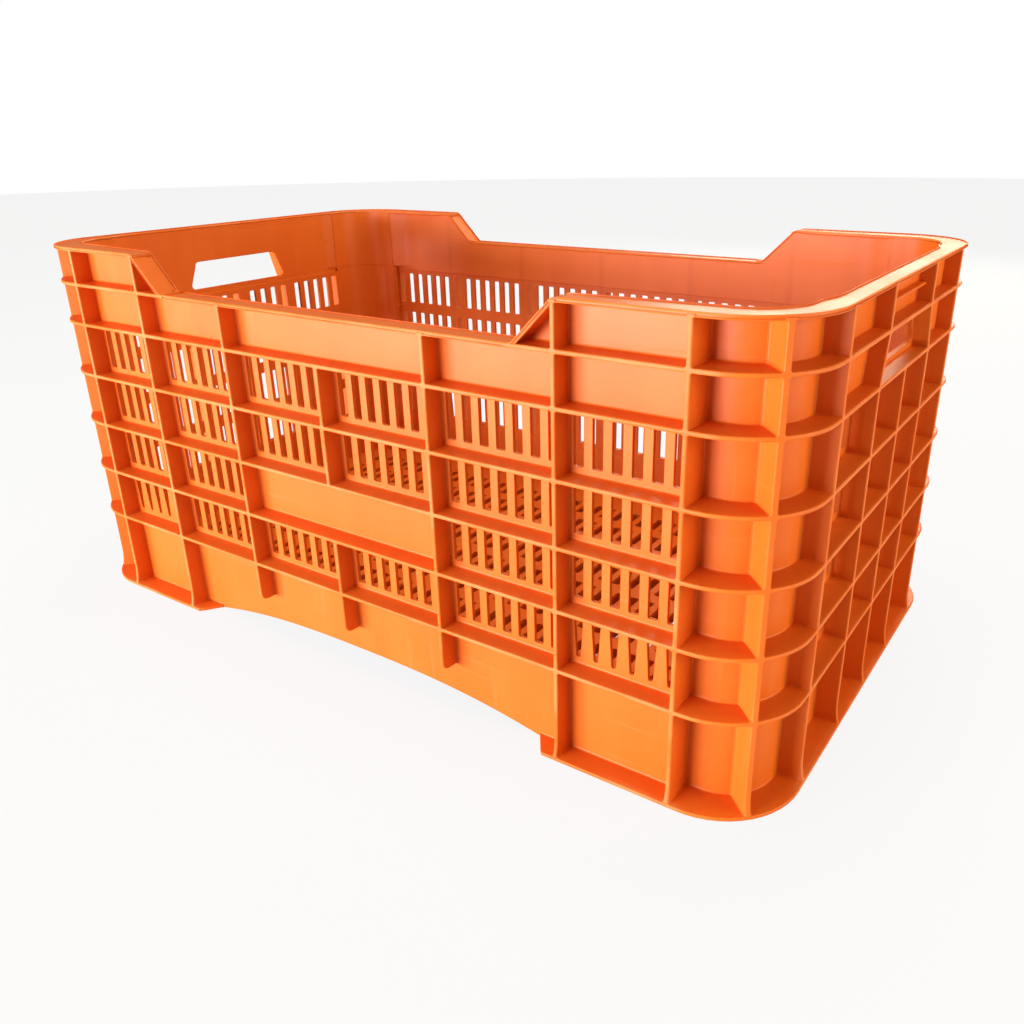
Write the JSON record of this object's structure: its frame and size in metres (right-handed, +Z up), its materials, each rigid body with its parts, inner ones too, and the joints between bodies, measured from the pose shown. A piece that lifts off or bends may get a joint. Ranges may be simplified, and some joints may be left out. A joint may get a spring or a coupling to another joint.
{
  "type": "ventilated stacking crate",
  "caption": "Open-topped ventilated plastic crate with slotted walls, outside rib lattice, rounded corner posts, hand holes in the end walls and a lowered rim along each long side.",
  "frame": {"origin": "middle of the rectangle the foot flange stands on, at floor level", "axes": "+X to the right end wall, -Y to the front long wall, +Z up"},
  "size_m": [0.5646, 0.3346, 0.2535],
  "materials": {
    "orange_polyethylene": "semi-gloss moulded polyethylene"
  },
  "bodies": {
    "root": {"back_flange_1": "orange_polyethylene", "back_flange_2": "orange_polyethylene", "back_flange_3": "orange_polyethylene", "back_flange_4": "orange_polyethylene", "back_flange_5": "orange_polyethylene", "back_flange_6": "orange_polyethylene", "back_rib_1": "orange_polyethylene", "back_rib_2": "orange_polyethylene", "back_rib_3_lower": "orange_polyethylene", "back_rib_3_upper": "orange_polyethylene", "back_rib_4": "orange_polyethylene", "back_rib_5": "orange_polyethylene", "back_shoulder_left": "orange_polyethylene", "back_shoulder_right": "orange_polyethylene", "back_skirt": "orange_polyethylene", "back_wall": "orange_polyethylene", "corner_post_back_left": "orange_polyethylene", "corner_post_back_right": "orange_polyethylene", "corner_post_front_left": "orange_polyethylene", "corner_post_front_right": "orange_polyethylene", "floor_beam_back": "orange_polyethylene", "floor_beam_front": "orange_polyethylene", "floor_beam_middle": "orange_polyethylene", "floor_grid": "orange_polyethylene", "foot_flange_back_left": "orange_polyethylene", "foot_flange_back_right": "orange_polyethylene", "foot_flange_front_left": "orange_polyethylene", "foot_flange_front_right": "orange_polyethylene", "foot_flange_left_end": "orange_polyethylene", "foot_flange_right_end": "orange_polyethylene", "front_flange_1": "orange_polyethylene", "front_flange_2": "orange_polyethylene", "front_flange_3": "orange_polyethylene", "front_flange_4": "orange_polyethylene", "front_flange_5": "orange_polyethylene", "front_flange_6": "orange_polyethylene", "front_rib_1": "orange_polyethylene", "front_rib_2": "orange_polyethylene", "front_rib_3_lower": "orange_polyethylene", "front_rib_3_upper": "orange_polyethylene", "front_rib_4": "orange_polyethylene", "front_rib_5": "orange_polyethylene", "front_shoulder_left": "orange_polyethylene", "front_shoulder_right": "orange_polyethylene", "front_skirt": "orange_polyethylene", "front_wall": "orange_polyethylene", "left_end_ribs": "orange_polyethylene", "left_end_wall": "orange_polyethylene", "left_handle_bar": "orange_polyethylene", "left_handle_frame": "orange_polyethylene", "left_handle_wall": "orange_polyethylene", "right_end_ribs": "orange_polyethylene", "right_end_wall": "orange_polyethylene", "right_handle_bar": "orange_polyethylene", "right_handle_frame": "orange_polyethylene", "right_handle_wall": "orange_polyethylene"}
  },
  "joints": []
}
